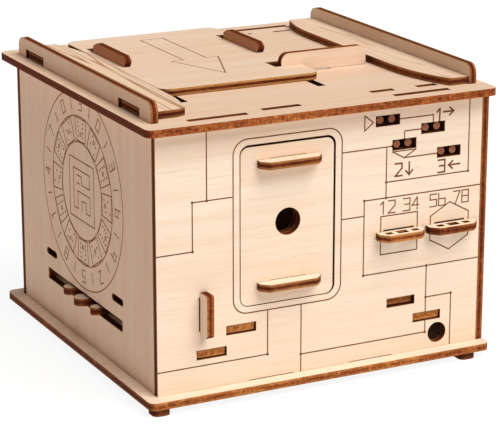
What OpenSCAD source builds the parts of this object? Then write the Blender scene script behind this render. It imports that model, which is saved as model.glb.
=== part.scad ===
// Plywood puzzle box, cut from 3 mm sheet.
// Origin: centre of the box on the plane of the feet. +Z up, -Y is the front, -X the left side.

/* [Sheet] */
// Thickness of every sheet
ply = 3; // [2.9:0.05:3.05]
// Gap left by the laser on each side of a glued tenon
kerf = 0.1; // [0.05:0.05:0.15]
// Gap on each side of a piece that slides in a slot
slide_gap = 0.2; // [0.15:0.05:0.25]

/* [Box] */
// Side of the square base and top plates
plate_side = 150.8; // [150.4:0.1:151.4]
// Corner radius of the base and top plates
plate_corner = 3; // [2:0.5:4]
// Height of the walls between the plates
wall_height = 103; // [102.8:0.1:103.4]
// Height of the two rails above the top plate
rail_height = 7.9; // [7.5:0.1:10]
// Radius of the upper corners of the rails
rail_corner = 4; // [3:0.5:5]

/* [Engraving] */
// Width of an engraved line
line_width = 0.45; // [0.3:0.05:0.6]
// Width of the strokes of numbers and signs
sign_width = 0.65; // [0.5:0.05:0.8]
// Depth of an engraved line
line_depth = 0.2; // [0.15:0.05:0.5]

/* [Drawer] */
// Width of the opening for the front door
door_opening_width = 41.2; // [41:0.1:41.4]
// Height of the opening for the front door
door_opening_height = 63.8; // [63.6:0.1:64]
// Visible gap round the front door
door_gap = 0.6; // [0.55:0.05:0.7]
// Depth of the drawer behind the front wall
drawer_depth = 88; // [80:1:90]

/* [Dial] */
// Radius of the dial disc between the two decks
dial_radius = 62; // [58:1:64]
// Radius at the tips of the three fingers
finger_tip_radius = 74.8; // [74:0.1:74.9]
// Angle between neighbouring fingers
finger_pitch = 10.8; // [10.6:0.1:11]
// Width of the middle finger
finger_width = 7; // [6.6:0.2:8]

/* [Arrow slider] */
// Width of the arrow plate
arrow_plate_width = 69.7; // [69:0.1:69.7]
// Length of the arrow plate
arrow_plate_length = 98; // [97:0.5:99]
// How far the arrow plate slides towards the front
arrow_travel = 6; // [5:0.5:6]

/* [Hidden] */
$fn = 64;

light_ply = "#F0D9BC";
edge_ply = "#B86C38";
inner_ply = "#D9B98F";
cut = 0.01;

// Levels
foot_top = ply;
base_top = foot_top + ply;
wall_top = base_top + wall_height;
lid_top = wall_top + ply;
rail_top = lid_top + rail_height;

// Outer faces of the walls
wall_left = -70;
wall_right = 75;
wall_front = -69.5;
wall_rear = 69.5;
inside_left = wall_left + ply;
inside_right = wall_right - ply;
inside_front = wall_front + ply;
inside_rear = wall_rear - ply;

// Tenons of the walls in the plates
tab_width = 24.6;
tab_recess = 0.6;
front_bottom_tabs = [-43.6, 0.5, 44.7];
front_top_tabs = [-43.6, 44.7];
side_tabs = [-36, 36];

// Open joint between the front wall and the base plate, from the left end of each gap
joint_gaps = [-31.2, 13];
joint_gap = [19.2, 0.3];

// Decks that carry the dial
lower_deck_z = 18.5;
upper_deck_z = 26.5;
deck_tenon = 12;
lower_tenons = [-47.2, 48.4];
upper_tenons = [-34.6, 36.2];
dial_z = 22.4;
pin_radius = 4;
pin_fit = 0.05;
window_y = 1.1;
dial_window = [76.6, 4.8];
dial_window_z = 24.1;
dial_swing = 12;

// Door and drawer
door_centre = [-14.6, 68.2];
door_width = door_opening_width - 2 * door_gap;
door_height = door_opening_height - 2 * door_gap;
door_corner = 3.2;
door_shift = [-0.25, -0.25];
door_hole_radius = 5.4;
door_handle = [26.4, 5.4];
door_tenon = 15;
handle_rise = 24.2;
drawer_width = 38.4;
drawer_left = door_centre[0] - drawer_width / 2;
drawer_right = door_centre[0] + drawer_width / 2;
drawer_bottom = 37.6;
drawer_top = 90;
drawer_start = inside_front + ply;
drawer_end = drawer_start + drawer_depth;
drawer_play = 0.4;
housing_end = 60;
housing_roof_z = 100.6;

// Key tab
key_x = -52;
key_slot = [29.6, 43.2];
key_handle = [28.2, 45.2];
key_handle_depth = 6;
key_end = -36;
key_stop = 15;
key_travel = 12;

// Code sliders
code_z = 55;
code_centres = [34.6, 58];
code_slot_width = 13.8;
code_handle_widths = [20.4, 21.8];
code_handle_depth = 6;
code_end = -28;
code_stop = 14;
code_body_width = 19;
handle_chamfer = 3;

// Code windows with their pegs
window_size = [10.8, 4.3];
window_centres = [[28.9, 102.8], [49.4, 97.7], [36.5, 92.5], [56.9, 87.2]];
peg_radius = 1.5;
peg_offset = 2.6;
peg_recess = 1.6;
board_front = -60.5;
board_tabs = [[27, 37.2], [47.8, 56.6]];

// Engraved dial plate on the left wall
plaque_centre = [1.2, 69.1];
plaque_rings = [20, 30.5, 40.6];
card_count = 12;

// Parts on the lid
arrow_left = -49.2;
arrow_right = arrow_left + arrow_plate_width;
arrow_front = -31;
arrow_rear = arrow_front + arrow_plate_length;
arrow_centre = arrow_left + arrow_plate_width / 2;
arrow_sign_x = -14;
runner_x = [-46.2, 13.8];
runner_head = [11, 43.3];
runner_chamfer = 1.6;
runner_neck_front = 13.2;
runner_front = -30;
runner_top = lid_top + ply + 4.3;
guide_slot = [-41.3, 47];
yoke_tenon = [12, 36];
yoke_y = [4, 40];
yoke_gap = 0.3;
latch_x = [11, 50];
latch_y = -15;
latch_leg = [22, 32];
latch_slot = [19.2, 33.6];
latch_height = 8;
latch_corner = 3.5;
notch = [8.3, -5.9];
wing_corner = 9;
wing_gap = 0.25;
wing_rear = 65.5;
wing_curve = 79;
wing_tabs = [-46.6, 48.6];
wing_tab_width = 18.6;
left_rail_window = 3.8;
right_rail_window = 3.1;
right_rail_x = 68.6;

// ---- Sheets in the three planes ----

module sheet_xy(z, thickness = ply) translate([0, 0, z]) linear_extrude(thickness) children();

module sheet_xz(y, thickness = ply)
    translate([0, y + thickness, 0]) rotate([90, 0, 0]) linear_extrude(thickness) children();

module sheet_yz(x, thickness = ply)
    translate([x, 0, 0]) rotate([90, 0, 90]) linear_extrude(thickness) children();

// Rectangle between two corners
module box_2d(low, high) translate(low) square(high - low);

// Centred rectangle with round corners
module rounded_2d(size, radius) {
    square([size[0], size[1] - 2 * radius], center = true);
    square([size[0] - 2 * radius, size[1]], center = true);
    for (x = [-1, 1], y = [-1, 1])
        translate([x * (size[0] / 2 - radius), y * (size[1] / 2 - radius)]) circle(radius);
}

// Upright bar with round upper corners
module round_top_2d(low, high, radius) {
    box_2d(low, [high[0], high[1] - radius]);
    box_2d([low[0] + radius, low[1]], [high[0] - radius, high[1]]);
    for (x = [low[0] + radius, high[0] - radius]) translate([x, high[1] - radius]) circle(radius);
}

// ---- Engraving ----

module line_2d(start, end, width = line_width) {
    step = end - start;
    translate(start)
        rotate(atan2(step[1], step[0]))
            translate([-width / 2, -width / 2])
                square([norm(step) + width, width]);
}

module path_2d(points, width = line_width)
    for (i = [0:len(points) - 2]) line_2d(points[i], points[i + 1], width);

// Dots that end the panel lines
module dots_2d(places) for (p = places) translate(p) circle(0.55, $fn = 16);

module loop_2d(points) path_2d(concat(points, [points[0]]));

module ring_2d(radius) difference() {
    circle(radius + line_width / 2);
    circle(radius - line_width / 2);
}

module rounded_ring_2d(size, radius) difference() {
    rounded_2d(size + [line_width, line_width], radius + line_width / 2);
    rounded_2d(size - [line_width, line_width], radius - line_width / 2);
}

// Numerals of straight strokes in a cell 3 wide and 5 high
DIGITS = [
    [[[0, 0], [3, 0], [3, 5], [0, 5], [0, 0]]],
    [[[0.5, 3.8], [1.7, 5], [1.7, 0]]],
    [[[0, 5], [3, 5], [3, 3], [0, 0], [3, 0]]],
    [[[0, 5], [3, 5], [3, 0], [0, 0]], [[0.6, 2.6], [3, 2.6]]],
    [[[2.3, 0], [2.3, 5], [0, 1.8], [3, 1.8]]],
    [[[3, 5], [0, 5], [0, 2.8], [3, 2.8], [3, 0], [0, 0]]],
    [[[0, 5], [0, 0], [3, 0], [3, 2.8], [0, 2.8]]],
    [[[0, 5], [3, 5], [1, 0]]],
    [[[0, 0], [3, 0], [3, 5], [0, 5], [0, 0]], [[0, 2.6], [3, 2.6]]],
    [[[3, 0], [3, 5], [0, 5], [0, 2.4], [3, 2.4]]]
];

module digit_2d(value, width = line_width) for (path = DIGITS[value]) path_2d(path, width);

module number_2d(place, value, width = line_width) translate(place) digit_2d(value, width);

// Arrow along its own +X, tip at the origin
module small_arrow_2d(length) {
    line_2d([-length, 0], [0, 0], sign_width);
    line_2d([-1.7, 1.5], [0, 0], sign_width);
    line_2d([-1.7, -1.5], [0, 0], sign_width);
}

// ---- Front wall ----

function tenon_box(centre, width, z, gap) =
    [[centre - width / 2 - gap, z - gap], [centre + width / 2 + gap, z + ply + gap]];

module deck_mortises_2d() {
    for (x = lower_tenons) let (b = tenon_box(x, deck_tenon, lower_deck_z, 0.4)) box_2d(b[0], b[1]);
    for (x = upper_tenons) let (b = tenon_box(x, deck_tenon, upper_deck_z, 0.4)) box_2d(b[0], b[1]);
}

module wall_xz_2d(top_tabs) {
    box_2d([wall_left, base_top], [inside_right, wall_top]);
    for (x = front_bottom_tabs) box_2d([x - tab_width / 2, foot_top], [x + tab_width / 2, base_top + cut]);
    for (x = top_tabs) box_2d([x - tab_width / 2, wall_top - cut], [x + tab_width / 2, lid_top - tab_recess]);
}

module front_wall_cuts_2d() {
    translate(door_centre) rounded_2d([door_opening_width, door_opening_height], door_corner + door_gap);
    for (c = window_centres) translate(c) square(window_size, center = true);
    for (x = code_centres)
        box_2d([x - code_slot_width / 2, code_z - 0.3], [x + code_slot_width / 2, code_z + ply + 0.7]);
    box_2d([key_x - 0.5, key_slot[0]], [key_x + ply + 0.4, key_slot[1]]);
    for (x = joint_gaps) box_2d([x, base_top - cut], [x + joint_gap[0], base_top + joint_gap[1]]);
    deck_mortises_2d();
    translate([53.4, 12.3]) circle(4.2);
}

// Panel lines, window signs and code numbers
module front_engraving_2d() {
    translate(door_centre) rounded_ring_2d([46.7, 68.8], 6);
    frame_left = door_centre[0] - 23.35;
    frame_right = door_centre[0] + 23.35;
    frame_bottom = door_centre[1] - 34.4;
    path_2d([[-49, wall_top], [-49, 80.8]]);
    path_2d([[frame_left, 80.8], [-55, 80.8], [-55, 61.6], [wall_left, 61.6]]);
    path_2d([[-23.2, frame_bottom], [-23.2, 15.6], [wall_left, 15.6]]);
    path_2d([[-8.6, frame_bottom], [-8.6, base_top]]);
    path_2d([[-8.6, 13.2], [47.8, 13.2]]);
    path_2d([[frame_right, 92.2], [31.1, 92.2]]);
    path_2d([[frame_right, 65.5], [18.9, 65.5]]);
    path_2d([[66.1, wall_top], [66.1, 78], [28.6, 78]]);
    path_2d([[28.6, 92.2], [28.6, 71.7]]);
    path_2d([[inside_right, 71.7], [18.9, 71.7], [18.9, 41.2], [inside_right, 41.2]]);
    path_2d([[47.8, 41.2], [47.8, 13.2]]);
    path_2d([[47.8, 28], [59.6, 28], [59.6, base_top]]);
    loop_2d([[18.6, 105.7], [18.6, 99.7], [22.4, 102.7]]);
    path_2d([[34.3, 102.8], [49.4, 102.8], [49.4, 99.8]]);
    path_2d([[44, 97.7], [36.5, 97.7], [36.5, 94.6]]);
    loop_2d([[31.2, 89.9], [41.8, 89.9], [36.5, 87]]);
    path_2d([[36.5, 87], [51.5, 87]]);
    number_2d([50.6, 99.9], 1, sign_width);
    translate([58.6, 103.4]) small_arrow_2d(4.6);
    number_2d([32.6, 79.9], 2, sign_width);
    translate([38.9, 79.9]) rotate(-90) small_arrow_2d(5);
    number_2d([52.2, 79], 3, sign_width);
    translate([57, 81.5]) rotate(180) small_arrow_2d(5);
    loop_2d([[26.5, 48.7], [43.1, 48.7], [43.1, 64.3], [26.5, 64.3]]);
    loop_2d([for (i = [0:5]) [58, 56.5] + [cos(i * 60 + 30) * 10.2, sin(i * 60 + 30) * 9.8]]);
    dots_2d([[-49, 80.8], [-55, 80.8], [-55, 61.6], [-23.2, 15.6], [-8.6, 13.2]]);
    dots_2d([[47.8, 13.2], [47.8, 28], [59.6, 28]]);
    dots_2d([[28.6, 78], [66.1, 78], [28.6, 71.7], [18.9, 71.7], [18.9, 41.2], [47.8, 41.2], [31.1, 92.2]]);
    for (i = [0:3]) number_2d([25.8 + i * 4 + (i > 1 ? 2.8 : 0), 65.3], i + 1);
    for (i = [0:3]) number_2d([48.8 + i * 4 + (i > 1 ? 2.8 : 0), 65.3], i + 5);
}

module front_wall() color(light_ply) difference() {
    sheet_xz(wall_front) difference() {
        wall_xz_2d(front_top_tabs);
        front_wall_cuts_2d();
    }
    sheet_xz(wall_front - cut, line_depth + cut) front_engraving_2d();
}

module rear_wall() color(light_ply) sheet_xz(inside_rear) difference() {
    wall_xz_2d(front_top_tabs);
    deck_mortises_2d();
}

// ---- Side walls ----

module wall_yz_2d(low, high, tabs) {
    box_2d([low, base_top], [high, wall_top]);
    if (tabs) for (y = side_tabs) box_2d([y - tab_width / 2, foot_top], [y + tab_width / 2, base_top + cut]);
}

// Straight strokes of a square labyrinth with the side 6
LABYRINTH = [
    [[0, 0], [6, 0], [6, 6], [0, 6], [0, 0]],
    [[1, 5], [5, 5], [5, 3.6], [3, 3.6], [3, 4.4], [1.8, 4.4]],
    [[1, 5], [1, 1], [2, 1], [2, 2.8]],
    [[5, 1], [5, 2.8], [1.8, 2.8]],
    [[3, 1], [3, 2], [4, 2], [4, 1], [5, 1]],
    [[1.8, 3.6], [2.4, 3.6]]
];

// One card of the ring: a frame with dots, standing on the inner ring
module card_2d(index) {
    wide = 5.4;
    low = plaque_rings[0] + 0.4;
    high = plaque_rings[1] - 0.8;
    loop_2d([[-wide + 0.9, low], [wide - 0.9, low], [wide, high], [-wide, high]]);
    for (column = [-1, 1], row = [0:3])
        if ((index * 3 + row * 2 + column) % 4 != 0)
            translate([column * 2.3, low + 1.9 + row * 1.9]) circle(0.45, $fn = 16);
    translate([0, low + 3 + (index % 3) * 1.6]) difference() {
        circle(0.95, $fn = 20);
        circle(0.5, $fn = 20);
    }
}

module plaque_2d() {
    for (r = plaque_rings) ring_2d(r);
    half_pitch = 180 / card_count;
    for (i = [0:card_count - 1]) rotate(i * 360 / card_count) {
        card_2d(i);
        translate([-1.5, plaque_rings[1] + 2.6]) digit_2d((i * 7 + 3) % 10);
        rotate(half_pitch) line_2d([0, plaque_rings[1] + 2.6], [0, plaque_rings[2] - 3.2]);
    }
    for (path = LABYRINTH) path_2d([for (p = path) (p - [3, 3]) * 4.1]);
}

module obround_2d(length, width) rounded_2d([length, width], width / 2 - cut);

module left_wall_cuts_2d() {
    translate([window_y, dial_window_z]) square(dial_window, center = true);
    for (side = [-1, 1]) translate([plaque_centre[0] + side * 33.9, 33.8]) obround_2d(11, 3);
}

module left_wall() color(light_ply) difference() {
    sheet_yz(wall_left) difference() {
        wall_yz_2d(inside_front, inside_rear, true);
        left_wall_cuts_2d();
    }
    sheet_yz(wall_left - cut, line_depth + cut) intersection() {
        translate(plaque_centre) mirror([1, 0]) plaque_2d();
        box_2d([inside_front, base_top], [inside_rear, wall_top]);
    }
}

module right_wall() color(light_ply) sheet_yz(inside_right) difference() {
    wall_yz_2d(wall_front, wall_rear, false);
    for (y = side_tabs, z = [lower_deck_z, upper_deck_z])
        let (b = tenon_box(y, deck_tenon, z, kerf)) box_2d(b[0], b[1]);
}

// ---- Base, feet and top plate ----

module feet() color(edge_ply) for (side = [-1, 1])
    sheet_xy(0) {
        translate([-68 + side * 2, side * 70.6]) rounded_2d([7.2, 7.2], 2.4);
        translate([68 + side * 2, side * 70.6]) rounded_2d([7.2, 7.2], 2.4);
    }

module wall_mortises_2d(tabs) {
    for (x = tabs, y = [wall_front, inside_rear])
        box_2d([x - tab_width / 2 - kerf, y - kerf], [x + tab_width / 2 + kerf, y + ply + kerf]);
}

module base_plate() color(light_ply) sheet_xy(foot_top) difference() {
    rounded_2d([plate_side, plate_side], plate_corner);
    wall_mortises_2d(front_bottom_tabs);
    for (y = side_tabs)
        box_2d([wall_left - kerf, y - tab_width / 2 - kerf], [inside_left + kerf, y + tab_width / 2 + kerf]);
}

module top_plate() color(light_ply) sheet_xy(wall_top) difference() {
    rounded_2d([plate_side, plate_side], plate_corner);
    wall_mortises_2d(front_top_tabs);
    box_2d([-23.5 - kerf, inside_front - kerf], [-7.3 + kerf, drawer_start + kerf]);
    for (tab = board_tabs)
        box_2d([tab[0] - kerf, board_front - kerf], [tab[1] + kerf, board_front + ply + kerf]);
    box_2d([45.8, 57.8], [54.4, 59.4]);
    box_2d([33.8, 59], [35.8, 60.4]);
    for (x = runner_x)
        box_2d([x - slide_gap, guide_slot[0]], [x + ply + slide_gap, guide_slot[1]]);
    box_2d([latch_slot[0], latch_y - 0.7], [latch_slot[1], latch_y + ply + slide_gap]);
    for (x = [wall_left, right_rail_x], y = [-20, 20])
        box_2d([x - kerf, y - 8 - kerf], [x + ply + kerf, y + 8 + kerf]);
}

// ---- Rails and wings on the lid ----

module rail(x, front, window_height) color(light_ply) sheet_yz(x) difference() {
    union() {
        round_top_2d([front, lid_top], [inside_rear, rail_top], rail_corner);
        for (y = [-20, 20]) box_2d([y - 8, wall_top], [y + 8, lid_top + cut]);
    }
    for (y = wing_tabs)
        box_2d(
            [y - wing_tab_width / 2 - 0.4, lid_top - cut],
            [y + wing_tab_width / 2 + 0.4, lid_top + window_height]);
}

module left_rail() rail(wall_left, inside_front, left_rail_window);

module right_rail() rail(right_rail_x, -65, right_rail_window);

// Wing beside a rail: straight inner edge that bends back to the rail at both ends
module wing_2d(edge, rail_face, front, front_bend, rear_bend) {
    side = sign(rail_face - edge);
    low = min(edge, rail_face);
    high = max(edge, rail_face);
    turn = edge + side * wing_corner;
    intersection() {
        box_2d([low, front], [high, wing_rear]);
        union() {
            box_2d([low, front + wing_corner], [high, wing_rear]);
            box_2d([min(turn, rail_face), front], [max(turn, rail_face), wing_rear]);
            translate([turn, front + wing_corner]) circle(wing_corner);
        }
        union() {
            box_2d([low, front_bend], [high, rear_bend]);
            for (y = [front_bend, rear_bend])
                translate([edge + side * wing_curve, y]) circle(wing_curve, $fn = 180);
        }
    }
    reach = ply - 0.9;
    for (y = wing_tabs)
        translate([rail_face + side * (reach - 1) / 2, y]) square([reach + 1, wing_tab_width], center = true);
}

module left_wing() color(light_ply) sheet_xy(lid_top)
    wing_2d(arrow_left - wing_gap, inside_left, -61.3, -36.5, 38);

module right_wing() color(light_ply) sheet_xy(lid_top) wing_2d(52.5, right_rail_x, -64, -30, 38);

// ---- Decks, spacers and dial ----

module deck_2d(front_tenons, reach) {
    difference() {
        box_2d([inside_left, inside_front], [inside_right, inside_rear]);
        circle(pin_radius + 0.02);
    }
    for (i = [0:1]) {
        x = front_tenons[i];
        box_2d([x - deck_tenon / 2, inside_front - reach[i]], [x + deck_tenon / 2, inside_front + cut]);
        box_2d([x - deck_tenon / 2, inside_rear - cut], [x + deck_tenon / 2, wall_rear - 0.6]);
    }
    for (y = side_tabs) box_2d([inside_right - cut, y - deck_tenon / 2], [wall_right, y + deck_tenon / 2]);
}

module lower_deck() color(inner_ply) sheet_xy(lower_deck_z) deck_2d(lower_tenons, [2.1, 2.1]);

module upper_deck() color(inner_ply) sheet_xy(upper_deck_z) deck_2d(upper_tenons, [2, 1]);

module deck_spacers() color(inner_ply) for (x = [-63, 64.5], y = [-61, 51])
    sheet_yz(x) box_2d([y, lower_deck_z + ply], [y + 10, upper_deck_z]);

module dial_pin() color(inner_ply)
    translate([0, 0, lower_deck_z]) cylinder(r = pin_radius, h = upper_deck_z + ply - lower_deck_z);

module finger_2d(width) {
    box_2d([dial_radius - 4, -width / 2], [finger_tip_radius - width / 2, width / 2]);
    translate([finger_tip_radius - width / 2, 0]) circle(width / 2);
}

module dial_disc() color(edge_ply) sheet_xy(dial_z) difference() {
    union() {
        circle(dial_radius, $fn = 128);
        rotate(180 - finger_pitch - 0.9) finger_2d(finger_width - 1.4);
        rotate(180) finger_2d(finger_width);
        rotate(180 + finger_pitch) finger_2d(finger_width - 2.2);
    }
    circle(pin_radius + pin_fit);
}

// ---- Door, drawer and its housing ----

module front_door() color(light_ply) sheet_xz(wall_front) difference() {
    translate(door_centre + door_shift) rounded_2d([door_width, door_height], door_corner);
    door_cuts_2d(0.2);
}

module door_backing() color(inner_ply) sheet_xz(inside_front) difference() {
    translate(door_centre) rounded_2d([door_width - 1, door_height - 1], door_corner);
    door_cuts_2d(kerf);
}

module door_cuts_2d(gap) {
    translate(door_centre) circle(door_hole_radius);
    for (side = [-1, 1]) translate(door_centre + [0, side * handle_rise])
        square([door_tenon + 2 * gap, ply + 2 * gap], center = true);
}

// Flat grip with a tenon: two chamfered corners at the front
module grip_2d(centre, width, depth, stem_width, stem_end) {
    front = wall_front - 0.1 - depth;
    polygon([
        [centre - width / 2, wall_front - 0.1],
        [centre - width / 2, front + handle_chamfer],
        [centre - width / 2 + handle_chamfer, front],
        [centre + width / 2 - handle_chamfer, front],
        [centre + width / 2, front + handle_chamfer],
        [centre + width / 2, wall_front - 0.1]
    ]);
    box_2d([centre - stem_width / 2, wall_front - 1], [centre + stem_width / 2, stem_end]);
}

module door_handle_at(side) color(edge_ply)
    sheet_xy(door_centre[1] + side * handle_rise - ply / 2)
        grip_2d(door_centre[0], door_handle[0], door_handle[1], door_tenon, drawer_start);

module upper_door_handle() door_handle_at(1);

module lower_door_handle() door_handle_at(-1);

module drawer_side(x) color(inner_ply)
    sheet_yz(x) box_2d([drawer_start, drawer_bottom], [drawer_end, drawer_top]);

module drawer_left_side() drawer_side(drawer_left);

module drawer_right_side() drawer_side(drawer_right - ply);

module drawer_floor() color(inner_ply) sheet_xy(drawer_bottom)
    box_2d([drawer_left + ply, drawer_start], [drawer_right - ply, drawer_end]);

module drawer_back() color(inner_ply) sheet_xz(drawer_end - ply)
    box_2d([drawer_left + ply, drawer_bottom + ply], [drawer_right - ply, drawer_top]);

module door_frame() color(inner_ply) sheet_xz(inside_front) difference() {
    union() {
        box_2d(
            [drawer_left - drawer_play - ply, upper_deck_z + ply],
            [drawer_right + drawer_play + ply, wall_top]);
        box_2d([-23.5, wall_top - cut], [-7.3, lid_top - tab_recess]);
    }
    translate(door_centre) rounded_2d([door_opening_width, door_opening_height], door_corner + door_gap);
}

module housing_side(x) color(inner_ply) sheet_yz(x)
    box_2d([drawer_start, upper_deck_z + ply], [housing_end, housing_roof_z + ply]);

module housing_left_side() housing_side(drawer_left - drawer_play - ply);

module housing_right_side() housing_side(drawer_right + drawer_play);

module housing_plate(z) color(inner_ply) sheet_xy(z)
    box_2d([drawer_left - drawer_play, drawer_start], [drawer_right + drawer_play, housing_end]);

module housing_floor() housing_plate(drawer_bottom - drawer_play - ply);

module housing_roof() housing_plate(housing_roof_z);

module drawer_stop() color(inner_ply) sheet_xz(drawer_end + 0.3)
    box_2d(
        [drawer_left - drawer_play, drawer_bottom - drawer_play],
        [drawer_right + drawer_play, drawer_bottom + 20]);

// ---- Key tab ----

module key_tab() color(edge_ply) sheet_yz(key_x) {
    handle_back = wall_front - 0.1;
    handle_front = handle_back - key_handle_depth;
    polygon([
        [handle_back, key_handle[1]],
        [handle_front + 0.6, key_handle[1]],
        [handle_front, key_handle[1] - 0.6],
        [handle_front, key_handle[0] + 1],
        [handle_front + 1, key_handle[0]],
        [handle_back, key_handle[0]]
    ]);
    box_2d([handle_back - 1, key_slot[0] + 0.3], [key_end, key_slot[1] - 0.3]);
    box_2d([inside_front + key_stop, key_slot[0] + 0.3], [key_end, key_slot[1] + 6]);
}

module key_guides() color(inner_ply) for (x = [key_x - slide_gap - ply, key_x + ply + slide_gap])
    sheet_yz(x) box_2d([inside_front, upper_deck_z + ply], [key_end + 10, upper_deck_z + ply + 9]);

// ---- Code sliders ----

module code_slider(index) color(edge_ply) sheet_xy(code_z) {
    centre = code_centres[index];
    difference() {
        grip_2d(
            centre, code_handle_widths[index], code_handle_depth, code_slot_width - 2 * slide_gap, code_end);
        for (i = [-1:1])
            translate([centre + i * 5.9, wall_front - 2.9])
                square(i == 0 ? [4.8, 3.2] : [3, 2.4], center = true);
    }
    box_2d(
        [centre - code_body_width / 2, inside_front + code_stop],
        [centre + code_body_width / 2, code_end]);
}

module code_slider_1() code_slider(0);

module code_slider_2() code_slider(1);

module slider_plate(z) color(inner_ply) sheet_xy(z)
    box_2d([drawer_right + drawer_play + ply, inside_front], [inside_right, code_end + 8]);

module slider_shelf() slider_plate(code_z - 0.3 - ply);

module slider_cover() slider_plate(code_z + ply + 0.3);

module slider_guides() color(inner_ply) for (x = [
        code_centres[0] - code_body_width / 2 - 0.3 - ply,
        (code_centres[0] + code_centres[1]) / 2 - ply / 2,
        code_centres[1] + code_body_width / 2 + 0.3])
    translate([x, inside_front + 2, code_z - 0.3]) cube([ply, code_end - inside_front, ply + 0.6]);

// ---- Code board and pegs ----

module peg_centres()
    for (c = window_centres, side = [-1, 1]) translate(c + [side * peg_offset, 0]) children();

module code_board() color(inner_ply) sheet_xz(board_front) difference() {
    union() {
        box_2d([18, 76], [inside_right, wall_top]);
        for (tab = board_tabs) box_2d([tab[0], wall_top - cut], [tab[1], lid_top - tab_recess]);
    }
    peg_centres() circle(peg_radius + 0.02);
}

module code_pegs() color(light_ply)
    sheet_xz(wall_front + peg_recess, board_front + ply - wall_front - peg_recess)
        peg_centres() circle(peg_radius);

// ---- Arrow plate, runners and latch ----

module arrow_outline_2d() loop_2d([
    [arrow_sign_x - 5.1, 56], [arrow_sign_x - 5.1, 13.3], [arrow_sign_x - 10.5, 13.3],
    [arrow_sign_x, -15],
    [arrow_sign_x + 10.5, 13.3], [arrow_sign_x + 5.1, 13.3], [arrow_sign_x + 5.1, 56]
]);

module arrow_plate() color(light_ply) difference() {
    sheet_xy(lid_top + 0.1, ply - 0.1) difference() {
        translate([arrow_centre, arrow_front + arrow_plate_length / 2])
            rounded_2d([arrow_plate_width, arrow_plate_length], 5);
        for (x = runner_x) box_2d([x - kerf, runner_neck_front - kerf], [x + ply + kerf, 50.6]);
        box_2d([notch[0], latch_y - kerf], [arrow_right + 1, notch[1]]);
    }
    sheet_xy(lid_top + ply - line_depth, line_depth + cut) arrow_outline_2d();
}

// Runner: a low head with chamfered ends above the plate, and a tongue that slides under the lid
module runner(x) color(edge_ply) sheet_yz(x) {
    head_low = lid_top + ply;
    polygon([
        [runner_head[1], head_low],
        [runner_head[1], runner_top - runner_chamfer],
        [runner_head[1] - 2 * runner_chamfer, runner_top],
        [runner_head[0] + runner_chamfer * 1.4, runner_top],
        [runner_head[0], runner_top - runner_chamfer],
        [runner_head[0], head_low + runner_chamfer],
        [runner_head[0] + runner_chamfer * 0.7, head_low]
    ]);
    box_2d([runner_neck_front, lid_top - cut], [runner_head[1], head_low + 1]);
    box_2d([runner_front, wall_top], [runner_head[1], lid_top]);
    box_2d([yoke_tenon[0], wall_top - yoke_gap - ply], [yoke_tenon[1], wall_top + cut]);
}

module left_runner() runner(runner_x[0]);

module right_runner() runner(runner_x[1]);

module slider_yoke() color(inner_ply) sheet_xy(wall_top - yoke_gap - ply) difference() {
    box_2d([runner_x[0] - 4, yoke_y[0]], [runner_x[1] + ply + 4, yoke_y[1]]);
    for (x = runner_x)
        box_2d([x - kerf, yoke_tenon[0] - kerf], [x + ply + kerf, yoke_tenon[1] + kerf]);
}

module latch_bar() color(light_ply) sheet_xz(latch_y) {
    round_top_2d([latch_x[0], lid_top + 0.1], [latch_x[1], lid_top + latch_height], latch_corner);
    box_2d([latch_leg[0], wall_top - yoke_gap - ply], [latch_leg[1], lid_top + 0.1 + cut]);
}

module latch_keeper() color(inner_ply) sheet_xy(wall_top - yoke_gap - ply) difference() {
    box_2d([latch_leg[0] - 4, latch_y - 4.5], [latch_leg[1] + 4, latch_y + ply + 4.5]);
    box_2d([latch_leg[0] - kerf, latch_y - kerf], [latch_leg[1] + kerf, latch_y + ply + kerf]);
}

feet();
base_plate();
front_wall();
rear_wall();
left_wall();
right_wall();
top_plate();
left_rail();
right_rail();
left_wing();
right_wing();
lower_deck();
upper_deck();
deck_spacers();
dial_pin();
dial_disc();
door_frame();
housing_left_side();
housing_right_side();
housing_floor();
housing_roof();
drawer_stop();
front_door();
door_backing();
upper_door_handle();
lower_door_handle();
drawer_left_side();
drawer_right_side();
drawer_floor();
drawer_back();
key_tab();
key_guides();
code_slider_1();
code_slider_2();
slider_shelf();
slider_cover();
slider_guides();
code_board();
code_pegs();
arrow_plate();
left_runner();
right_runner();
slider_yoke();
latch_bar();
latch_keeper();
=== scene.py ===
import math

import bpy
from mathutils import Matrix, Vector


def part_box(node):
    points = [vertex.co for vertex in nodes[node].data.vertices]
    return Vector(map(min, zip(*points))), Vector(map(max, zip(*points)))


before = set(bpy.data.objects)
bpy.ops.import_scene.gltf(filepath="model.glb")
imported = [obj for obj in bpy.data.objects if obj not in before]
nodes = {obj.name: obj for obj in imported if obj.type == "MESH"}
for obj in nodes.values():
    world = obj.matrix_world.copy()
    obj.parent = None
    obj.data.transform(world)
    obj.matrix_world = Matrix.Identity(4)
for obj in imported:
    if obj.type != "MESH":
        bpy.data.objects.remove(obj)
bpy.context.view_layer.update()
scene = bpy.context.scene

# ---------------------------------------------------------------- shader helpers


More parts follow.
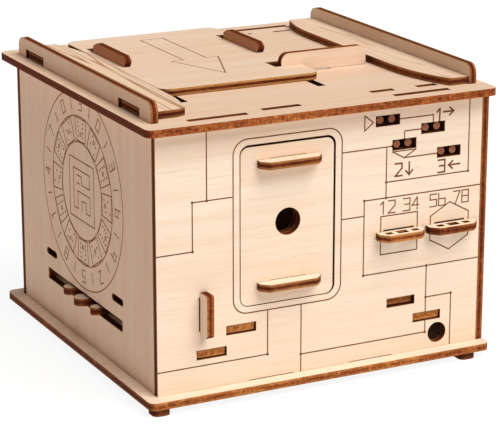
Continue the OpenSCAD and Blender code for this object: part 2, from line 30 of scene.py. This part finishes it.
class Graph:
    """Short calls for building a node tree."""

    def __init__(self, tree):
        self.tree = tree

    def add(self, kind, **settings):
        node = self.tree.nodes.new(kind)
        for key, value in settings.items():
            setattr(node, key, value)
        return node

    def put(self, socket, value):
        if isinstance(value, bpy.types.NodeSocket):
            self.tree.links.new(value, socket)
        else:
            socket.default_value = value

    def math(self, operation, a, b=0.0, c=None, clamp=False):
        node = self.add("ShaderNodeMath", operation=operation, use_clamp=clamp)
        self.put(node.inputs[0], a)
        self.put(node.inputs[1], b)
        if c is not None:
            self.put(node.inputs[2], c)
        return node.outputs[0]

    def times(self, a, b):
        return self.math("MULTIPLY", a, b)

    def minus(self, a, b):
        return self.math("SUBTRACT", a, b)

    def vector(self, operation, a, b=(0, 0, 0), c=(0, 0, 0)):
        node = self.add("ShaderNodeVectorMath", operation=operation)
        for socket, value in zip(node.inputs, (a, b, c)):
            self.put(socket, value)
        return node.outputs["Value" if operation == "DOT_PRODUCT" else "Vector"]

    def mix(self, factor, a, b, mode="MIX"):
        node = self.add("ShaderNodeMix", data_type="RGBA", clamp_factor=True, blend_type=mode)
        self.put(node.inputs[0], factor)
        self.put(node.inputs[6], a)
        self.put(node.inputs[7], b)
        return node.outputs[2]

    def either(self, switch, off, on):
        """A number: off where the switch is 0, on where it is 1."""
        node = self.add("ShaderNodeMix", data_type="FLOAT")
        self.put(node.inputs[0], switch)
        self.put(node.inputs[2], off)
        self.put(node.inputs[3], on)
        return node.outputs[0]

    def smooth(self, value, low, high, to_low=0.0, to_high=1.0):
        node = self.add("ShaderNodeMapRange", interpolation_type="SMOOTHSTEP")
        for socket, v in zip(node.inputs, (value, low, high, to_low, to_high)):
            self.put(socket, v)
        return node.outputs[0]

    def noise(self, where, scale, detail, roughness):
        node = self.add("ShaderNodeTexNoise")
        for name, v in (("Vector", where), ("Scale", scale), ("Detail", detail), ("Roughness", roughness)):
            self.put(node.inputs[name], v)
        return node.outputs["Fac"]


def srgb(text):
    """Linear colour of a six-digit sRGB code."""
    channels = [int(text[i:i + 2], 16) / 255 for i in (0, 2, 4)]
    return tuple([c / 12.92 if c <= 0.04045 else ((c + 0.055) / 1.055) ** 2.4 for c in channels] + [1.0])


# ---------------------------------------------------------------- laser-cut plywood


# How much a pattern is packed along and across the veneer's grain
ALONG, ACROSS = 28.0, 700.0
# A surface whose normal has more than this cosine with the sheet's axis is its face, and any other a cut edge
FACE_COSINE = 0.7
# Metres below the face: a surface deeper than the first is a groove's floor, and its walls end at the second
GROOVE_FLOOR, GROOVE_WALL = 0.00006, 0.00021
# A cut that sees less of its surroundings than this, so near the face, is a groove's wall
GROOVE_OPENNESS = 0.72
# How far, in metres, shade in the slots looks round and smoke spreads beside a cut
SHELTER_REACH, SMOKE_REACH = 0.012, 0.0005
# Metres from the face over which the golden rim of an edge fades out
RIM_END, RIM_START = 0.0011, 0.0006
# Height of the surface's relief in metres
RELIEF = 0.00006

INPUTS = {
    "Axis": "Vector", "Low": "Float", "High": "Float", "Grain": "Vector", "Seed": "Vector", "Burn": "Float",
    "Tone": "Float", "Figure": "Float", "Line": "Color", "Rim": "Float", "Stain": "Color", "Layered": "Float",
    "PaintedShade": "Float",
}
OUTPUTS = {"Color": "Color", "Roughness": "Float", "Normal": "Vector"}


def veneer_color(g, given, along, streaks, fibres):
    """Streaks along the grain, soft clouds, thin darker fibres, a few flecks and the figure's long lines."""
    clouds = g.noise(along, 0.11, 2.0, 0.5)
    bands = g.noise(along, 0.45, 3.0, 0.6)
    flecks = g.noise(along, 2.6, 1.0, 0.4)
    color = g.mix(g.smooth(clouds, 0.3, 0.7), srgb("F3DEC8"), srgb("F1D7BE"))
    color = g.mix(g.smooth(bands, 0.42, 0.72, 0.0, 0.4), color, srgb("EACAAA"))
    color = g.mix(g.smooth(streaks, 0.5, 0.78, 0.0, 0.42), color, srgb("DFBB98"))
    color = g.mix(g.smooth(streaks, 0.44, 0.24, 0.0, 0.4), color, srgb("FAEAD8"))
    color = g.mix(g.smooth(fibres, 0.58, 0.8, 0.0, 0.35), color, srgb("D0A680"))
    color = g.mix(g.smooth(flecks, 0.74, 0.8, 0.0, 0.4), color, srgb("BC8E66"))
    figure = g.noise(along, 0.16, 1.0, 0.3)
    rings = g.math("ABSOLUTE", g.math("SINE", g.times(figure, 34.0)))
    color = g.mix(g.times(g.smooth(rings, 0.5, 0.0), given["Figure"]), color, srgb("B08258"))
    return g.mix(given["Tone"], color, given["Stain"], mode="MULTIPLY")


def smoked(g, given, veneer, patches):
    """The veneer with smoke beside its cuts and lines, darker on a piece that is burnt a lot."""
    bevel = g.add("ShaderNodeBevel", samples=6)
    bevel.inputs["Radius"].default_value = SMOKE_REACH
    true_normal = g.add("ShaderNodeNewGeometry").outputs["Normal"]
    near_cut = g.minus(1.0, g.vector("DOT_PRODUCT", bevel.outputs[0], true_normal))
    smoke = g.times(g.smooth(near_cut, 0.0, 0.22), g.smooth(patches, 0.3, 0.65, 0.25, 0.8))
    return g.mix(smoke, veneer, g.mix(g.smooth(given["Burn"], 0.8, 1.0), srgb("C48F58"), srgb("4E200E")))


def edge_char(g, given, moved, normal, mottles, broad):
    """How charred a cut edge is: striations across the sheet, mottles, layers along it, and darker end grain, which is
    partly painted shade on the shaded left edges.
    """
    stretch_across = g.vector("ADD", g.vector("MULTIPLY", given["Axis"], (-0.88, -0.88, -0.88)), (1, 1, 1))
    squash_across = g.vector("MULTIPLY_ADD", given["Axis"], (4, 4, 4), (1, 1, 1))
    stripes = g.noise(g.vector("MULTIPLY", moved, stretch_across), 1100.0, 4.0, 0.7)
    layers = g.noise(g.vector("MULTIPLY", moved, squash_across), 330.0, 3.0, 0.65)
    char = g.math("ADD", g.times(stripes, 0.25), g.times(mottles, 0.4))
    char = g.math("MULTIPLY_ADD", layers, 0.35, char)
    char = g.math("MULTIPLY_ADD", g.minus(char, 0.5), 1.7, 0.5)
    char = g.math("ADD", char, g.times(g.minus(broad, 0.5), 0.35))
    # Back from the grain's packing to a unit vector along it
    lengthwise = g.vector("SUBTRACT", (ACROSS, ACROSS, ACROSS), given["Grain"])
    lengthwise = g.vector("MULTIPLY", lengthwise, (1 / (ACROSS - ALONG),) * 3)
    # Edges that face along the grain are charred darker as end grain; this is partly painted shade, darkening the
    # shaded left edges of sheets whose grain runs along x
    end_grain_and_shade = g.math("ABSOLUTE", g.vector("DOT_PRODUCT", normal, lengthwise))
    char = g.math("MULTIPLY_ADD", g.smooth(end_grain_and_shade, 0.5, 0.95), 0.22, char)
    return g.math("ADD", char, g.times(g.minus(given["Burn"], 0.5), 0.5))


def edge_color(g, given, char, level, inward, mottles, broad):
    """A dark core between two outer plies, glue lines between them, and a golden rim; level is 0 to 1 through them."""
    outer = g.mix(g.smooth(char, 0.3, 0.48), srgb("D08744"), srgb("A55928"))
    outer = g.mix(g.smooth(char, 0.46, 0.7), outer, srgb("6A2C12"))
    core = g.mix(g.smooth(char, 0.28, 0.46), srgb("B0642C"), srgb("773513"))
    core = g.mix(g.smooth(char, 0.46, 0.7), core, srgb("501A08"))
    off_centre = g.math("ABSOLUTE", g.minus(level, g.math("MULTIPLY_ADD", broad, 0.1, 0.42)))
    color = g.mix(g.times(g.smooth(off_centre, 0.26, 0.18), given["Layered"]), outer, core)
    glue = g.smooth(g.math("ABSOLUTE", g.minus(off_centre, 0.23)), 0.05, 0.0, 0.0, 0.45)
    color = g.mix(g.times(glue, given["Layered"]), color, srgb("4A1A0A"))
    rim = g.times(g.smooth(inward, RIM_END, RIM_START), given["Rim"])
    return g.mix(g.times(rim, g.smooth(mottles, 0.30, 0.52, 0.45, 1.0)), color, srgb("D69D5B"))


def make_plywood_group():
    """Birch veneer on the two faces of a sheet, scorched plies on its cut edges, burnt lines in its grooves."""
    tree = bpy.data.node_groups.new("laser_cut_plywood", "ShaderNodeTree")
    for way, sockets in (("INPUT", INPUTS), ("OUTPUT", OUTPUTS)):
        for name, kind in sockets.items():
            tree.interface.new_socket(name, in_out=way, socket_type="NodeSocket" + kind)
    g = Graph(tree)
    given = g.add("NodeGroupInput").outputs
    out = g.add("NodeGroupOutput").inputs
    place = g.add("ShaderNodeTexCoord")
    point, normal = place.outputs["Object"], place.outputs["Normal"]

    # Where this point lies in its sheet
    depth = g.vector("DOT_PRODUCT", point, given["Axis"])
    from_low = g.minus(depth, given["Low"])
    inward = g.math("MINIMUM", from_low, g.minus(given["High"], depth))
    level = g.math("DIVIDE", from_low, g.minus(given["High"], given["Low"]))
    facing = g.math("ABSOLUTE", g.vector("DOT_PRODUCT", normal, given["Axis"]))
    on_face = g.math("GREATER_THAN", facing, FACE_COSINE)
    shelter = g.add("ShaderNodeAmbientOcclusion", samples=8)
    shelter.inputs["Distance"].default_value = SHELTER_REACH
    openness = shelter.outputs["AO"]
    groove_floor = g.times(on_face, g.math("GREATER_THAN", inward, GROOVE_FLOOR))
    narrow = g.math("LESS_THAN", openness, GROOVE_OPENNESS)
    groove_wall = g.times(g.math("LESS_THAN", inward, GROOVE_WALL), narrow)
    groove_wall = g.times(groove_wall, g.minus(1.0, on_face))
    in_groove = g.math("MAXIMUM", groove_floor, groove_wall)

    # Patterns that more than one layer uses
    moved = g.vector("ADD", point, given["Seed"])
    along = g.vector("MULTIPLY", moved, given["Grain"])
    streaks = g.noise(along, 1.6, 4.0, 0.62)
    fibres = g.noise(along, 5.0, 3.0, 0.7)
    patches = g.noise(moved, 180.0, 2.0, 0.6)
    mottles = g.noise(moved, 700.0, 4.0, 0.7)
    broad = g.noise(moved, 60.0, 2.0, 0.5)

    veneer = smoked(g, given, veneer_color(g, given, along, streaks, fibres), patches)
    char = edge_char(g, given, moved, normal, mottles, broad)
    edge = edge_color(g, given, char, level, inward, mottles, broad)
    burnt_line = g.mix(g.smooth(patches, 0.3, 0.7, 0.0, 0.45), given["Line"], srgb("8A5A30"))
    color = g.mix(in_groove, g.mix(on_face, edge, veneer), burnt_line)

    # Painted shade: darker deep in the slots and windows and a little in tight corners, where the shelter finds little
    # open space round the point
    shade_face = g.smooth(openness, 0.5, 0.18, 0.0, 0.95)
    shade_edge = g.smooth(openness, 0.75, 0.3, 0.0, 0.92)
    shade = g.either(on_face, shade_edge, shade_face)
    shade = g.math("MULTIPLY", shade, g.minus(given["PaintedShade"], in_groove), clamp=True)
    g.put(out["Color"], g.mix(shade, color, srgb("471B0D")))

    rough_face = g.smooth(streaks, 0.3, 0.7, 0.52, 0.66)
    rough_edge = g.smooth(char, 0.3, 0.7, 0.6, 0.82)
    g.put(out["Roughness"], g.either(on_face, rough_edge, rough_face))

    height_face = g.math("ADD", streaks, g.times(fibres, 0.6))
    bump = g.add("ShaderNodeBump")
    bump.inputs["Strength"].default_value = 0.35
    bump.inputs["Distance"].default_value = RELIEF
    g.put(bump.inputs["Height"], g.either(on_face, g.times(char, 4.0), height_face))
    g.put(out["Normal"], bump.outputs[0])
    return tree


PLYWOOD = make_plywood_group()
AXES = {"x": (1, 0, 0), "y": (0, 1, 0), "z": (0, 0, 1)}


def plywood(
    name, thin, grain, burn=0.5, tone=0.0, figure=0.0, rim=0.15, layered=0.9, painted_shade=1.0, line="74421E", stain="D9A680"
):
    """Gives a CAD sheet its plywood: thin is the axis of its thickness, grain the direction of its veneer.

    burn darkens the cut edges, rim lightens their outer plies and layered darkens their core. tone is how strongly
    the colour stain tints the veneer, and figure how strong its long lines are. painted_shade scales the painted shade
    in the slots, windows and corners, and line is the colour of the engraving.
    """
    low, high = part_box(name)
    index = "xyz".index(thin)
    seed = sum((i + 3) * ord(c) for i, c in enumerate(name)) % 97
    material = bpy.data.materials.new("plywood_" + name)
    material.use_nodes = True
    g = Graph(material.node_tree)
    shader = material.node_tree.nodes["Principled BSDF"]
    group = g.add("ShaderNodeGroup", node_tree=PLYWOOD)
    for key, value in {
        "Axis": AXES[thin], "Low": low[index], "High": high[index],
        "Grain": [ALONG if axis == grain else ACROSS for axis in "xyz"],
        "Seed": (seed * 0.011, seed * 0.017, seed * 0.007),
        "Burn": burn, "Tone": tone, "Figure": figure, "Rim": rim, "Layered": layered, "PaintedShade": painted_shade,
        "Line": srgb(line), "Stain": srgb(stain),
    }.items():
        group.inputs[key].default_value = value
    for shader_input, output in (("Base Color", "Color"), ("Roughness", "Roughness"), ("Normal", "Normal")):
        g.put(shader.inputs[shader_input], group.outputs[output])
    shader.inputs["Specular IOR Level"].default_value = 0.12
    mesh = nodes[name].data
    mesh.materials.clear()
    mesh.materials.append(material)
    for polygon in mesh.polygons:
        polygon.material_index = 0


# Box
plywood("base_plate", "z", "x", burn=0.44, layered=0.5)
plywood("front_wall", "y", "x", burn=0.65)
plywood("rear_wall", "y", "x", burn=0.6)
# The left wall's stronger tone is painted shade: it darkens and warms this shaded side beyond the other walls
plywood("left_wall", "x", "z", burn=0.7, tone=0.4, line="9A5418")
plywood("right_wall", "x", "z", burn=0.66)
plywood("top_plate", "z", "x", burn=0.56, tone=0.24, rim=0.0, layered=0.25)
plywood("feet", "z", "x", burn=0.6, layered=0.5)

# Lid
# The left rail's stronger tone than the right rail's is painted shade on its shaded outer face
plywood("left_rail", "x", "z", burn=0.78, tone=0.45, rim=0.3)
plywood("right_rail", "x", "z", burn=0.76, tone=0.15, rim=0.3)
plywood("left_wing", "z", "y", burn=0.78, tone=0.16, figure=0.9, rim=0.45)
plywood("right_wing", "z", "y", burn=0.54, tone=0.16, figure=0.35, rim=0.4, layered=0.6)
plywood("arrow_plate", "z", "x", burn=0.66, tone=0.18, rim=1.0, line="9A5A2A")
for name in ("left_runner", "right_runner"):
    plywood(name, "x", "y", burn=1.0, tone=0.9, rim=0.1, stain="C08A66")
plywood("latch_bar", "y", "x", burn=0.6, tone=0.08, rim=0.3)

# Front
plywood("front_door", "y", "x", burn=0.7)
for name in ("upper_door_handle", "lower_door_handle"):
    plywood(name, "z", "x", burn=0.72, rim=0.35)
plywood("key_tab", "x", "z", burn=0.6, tone=0.1)
plywood("code_slider_1", "z", "x", burn=0.36, rim=0.5, layered=0.6)
plywood("code_slider_2", "z", "x", burn=0.62, rim=0.05)
# The pegs' dark stain is partly their burnt dowel ends and partly painted shade of the recess behind the windows
plywood("code_pegs", "y", "z", burn=0.7, tone=1.0, stain="B07C68")

# Dial and everything inside
plywood("dial_disc", "z", "x", burn=0.66, tone=0.1, rim=0.1)
# The decks seen through the windows get only a tenth of the painted shade
for name in ("lower_deck", "upper_deck"):
    plywood(name, "z", "x", burn=0.36, rim=0.3, layered=0.3, painted_shade=0.1)
for name, thin, grain in (
    ("deck_spacers", "x", "y"), ("dial_pin", "z", "z"),
    ("door_frame", "y", "z"), ("housing_left_side", "x", "y"), ("housing_right_side", "x", "y"),
    ("housing_floor", "z", "y"), ("housing_roof", "z", "y"), ("drawer_stop", "y", "x"),
    ("door_backing", "y", "x"), ("drawer_left_side", "x", "y"), ("drawer_right_side", "x", "y"),
    ("drawer_floor", "z", "y"), ("drawer_back", "y", "x"), ("key_guides", "x", "y"),
    ("slider_shelf", "z", "x"), ("slider_cover", "z", "x"), ("slider_guides", "x", "y"),
    ("code_board", "y", "x"), ("slider_yoke", "z", "x"), ("latch_keeper", "z", "x"),
):
    plywood(name, thin, grain, burn=0.55, tone=0.25)

# ---------------------------------------------------------------- floor and light


def make_floor():
    """A large pale floor that glows, so that it stays nearly white under soft shadows."""
    just_below_feet = -0.00005
    bpy.ops.mesh.primitive_plane_add(size=12.0, location=(0, 0, just_below_feet))
    floor = bpy.context.object
    floor.name = "studio_floor"
    material = bpy.data.materials.new("studio_floor")
    material.use_nodes = True
    shader = material.node_tree.nodes["Principled BSDF"]
    for key, value in (
        ("Base Color", (0.12, 0.12, 0.12, 1)), ("Roughness", 0.9), ("Specular IOR Level", 0.1),
        ("Emission Color", (1, 1, 1, 1)), ("Emission Strength", 0.9),
    ):
        shader.inputs[key].default_value = value
    floor.data.materials.append(material)


def make_world():
    """Dim warm light all round; behind the box the camera sees plain white."""
    warm, white = (1.0, 0.93, 0.86, 1), (1, 1, 1, 1)
    world = bpy.data.worlds.new("studio")
    scene.world = world
    world.use_nodes = True
    g = Graph(world.node_tree)
    background = world.node_tree.nodes["Background"]
    seen = g.add("ShaderNodeLightPath").outputs["Is Camera Ray"]
    g.put(background.inputs["Color"], g.mix(seen, warm, white))
    g.put(background.inputs["Strength"], g.math("MULTIPLY_ADD", seen, 0.8, 0.2))


def make_lamp():
    """One wide soft light from high in front and a little to the right."""
    towards = Vector((-0.22, 0.50, -0.80))
    data = bpy.data.lights.new("key", "SUN")
    data.energy = 3.18
    data.color = (1.0, 0.98, 0.95)
    data.angle = math.radians(46)
    light = bpy.data.objects.new("key", data)
    light.rotation_mode = "QUATERNION"
    light.rotation_quaternion = towards.to_track_quat("-Z", "Y")
    scene.collection.objects.link(light)


make_floor()
make_world()
make_lamp()
scene.view_settings.view_transform = "Standard"

# ---------------------------------------------------------------- camera
# The photograph's uprights are parallel, which would take a shift larger than the frame. The shift stays at zero, so
# they lean together a little here.

turn = math.radians(26.94)
tilt = math.radians(16.74)
gaze = Vector((math.sin(turn) * math.cos(tilt), math.cos(turn) * math.cos(tilt), -math.sin(tilt)))

camera = bpy.data.objects.new("camera", bpy.data.cameras.new("camera"))
camera.location = (-0.3872, -0.7699, 0.3082)
camera.rotation_mode = "QUATERNION"
camera.rotation_quaternion = gaze.to_track_quat("-Z", "Y")
camera.data.sensor_width = 36
camera.data.lens = 157
camera.data.clip_start = 0.01
camera.data.clip_end = 20
scene.collection.objects.link(camera)
scene.camera = camera

bpy.context.view_layer.update()
